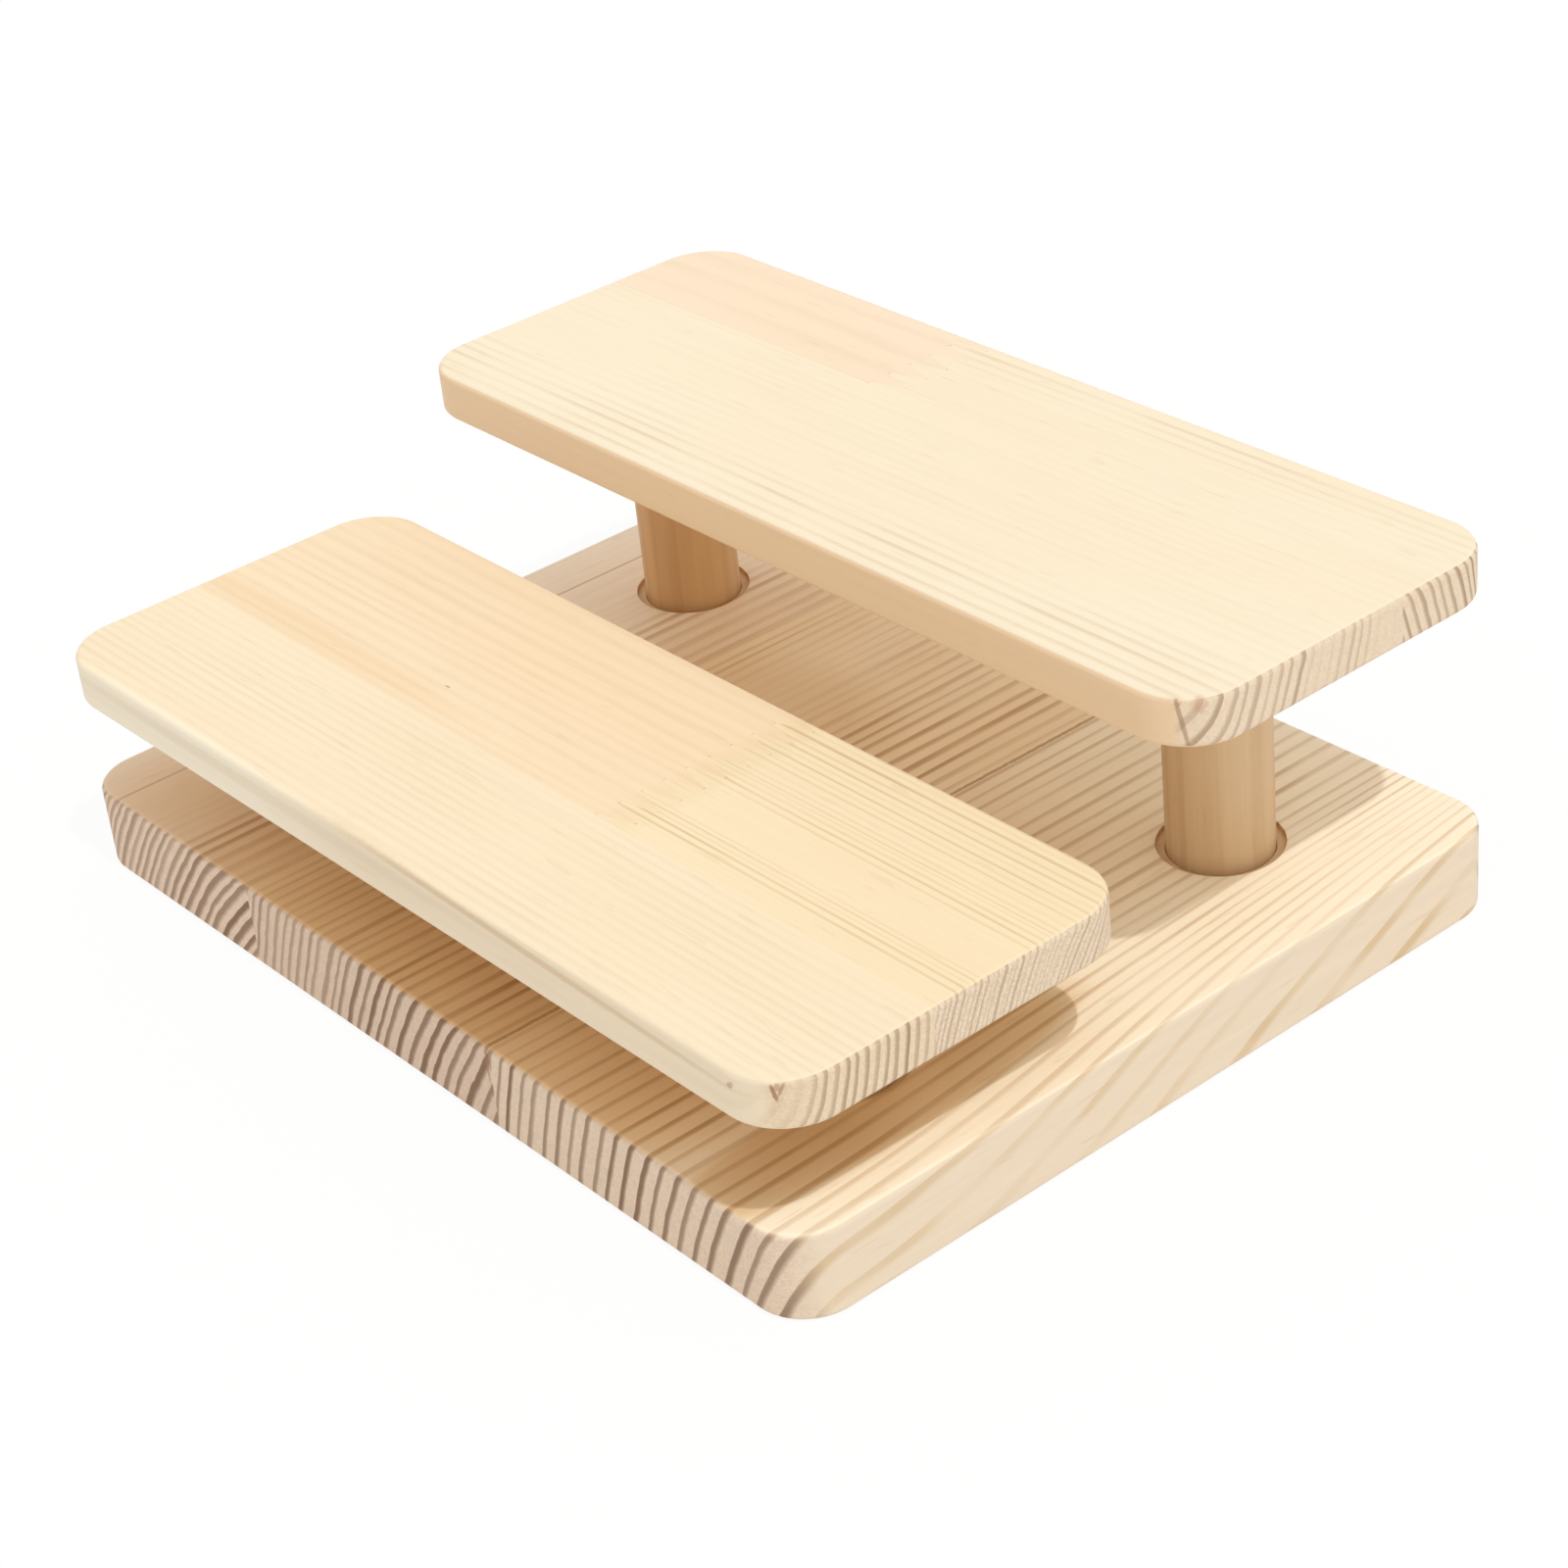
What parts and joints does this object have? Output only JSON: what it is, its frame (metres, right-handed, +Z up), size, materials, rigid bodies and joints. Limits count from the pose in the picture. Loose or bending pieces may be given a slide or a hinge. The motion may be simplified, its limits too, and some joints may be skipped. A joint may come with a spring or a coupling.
{
  "type": "stepped display shelf",
  "caption": "Pine tabletop stand: a thick base board with a low front shelf and a high rear shelf on round posts, which lift out of sockets, for showing food or goods in steps.",
  "frame": {"origin": "on the table, under the middle of the base board", "axes": "+X along the boards to the right as seen from the low front, +Y from the low shelf to the high shelf, +Z up"},
  "size_m": [0.25, 0.195, 0.085],
  "materials": {
    "base_pine": "sanded bare pine with strong growth rings",
    "pale_pine": "sanded bare pine, pale cream",
    "warm_pine": "sanded bare pine, warm cream",
    "pink_pine": "sanded bare pine, pinkish cream",
    "post_pine": "sanded bare pine dowel, tan"
  },
  "bodies": {
    "base": {"base_left_stave": "base_pine", "base_middle_stave": "base_pine", "base_right_stave": "base_pine"},
    "front_shelf": {"front_shelf_front_stave": "pale_pine", "front_shelf_left_block": "warm_pine", "front_shelf_right_block": "pale_pine", "front_left_post": "post_pine", "front_right_post": "post_pine"},
    "rear_shelf": {"rear_shelf_front_stave": "pale_pine", "rear_shelf_left_block": "pink_pine", "rear_shelf_right_block": "pale_pine", "rear_left_post": "post_pine", "rear_right_post": "post_pine"}
  },
  "joints": [
    {"name": "front_shelf_lift", "type": "slide", "parent": "base", "child": "front_shelf", "axis": [0, 0, 1], "range_m": [0, 0.02]},
    {"name": "rear_shelf_lift", "type": "slide", "parent": "base", "child": "rear_shelf", "axis": [0, 0, 1], "range_m": [0, 0.02]}
  ]
}
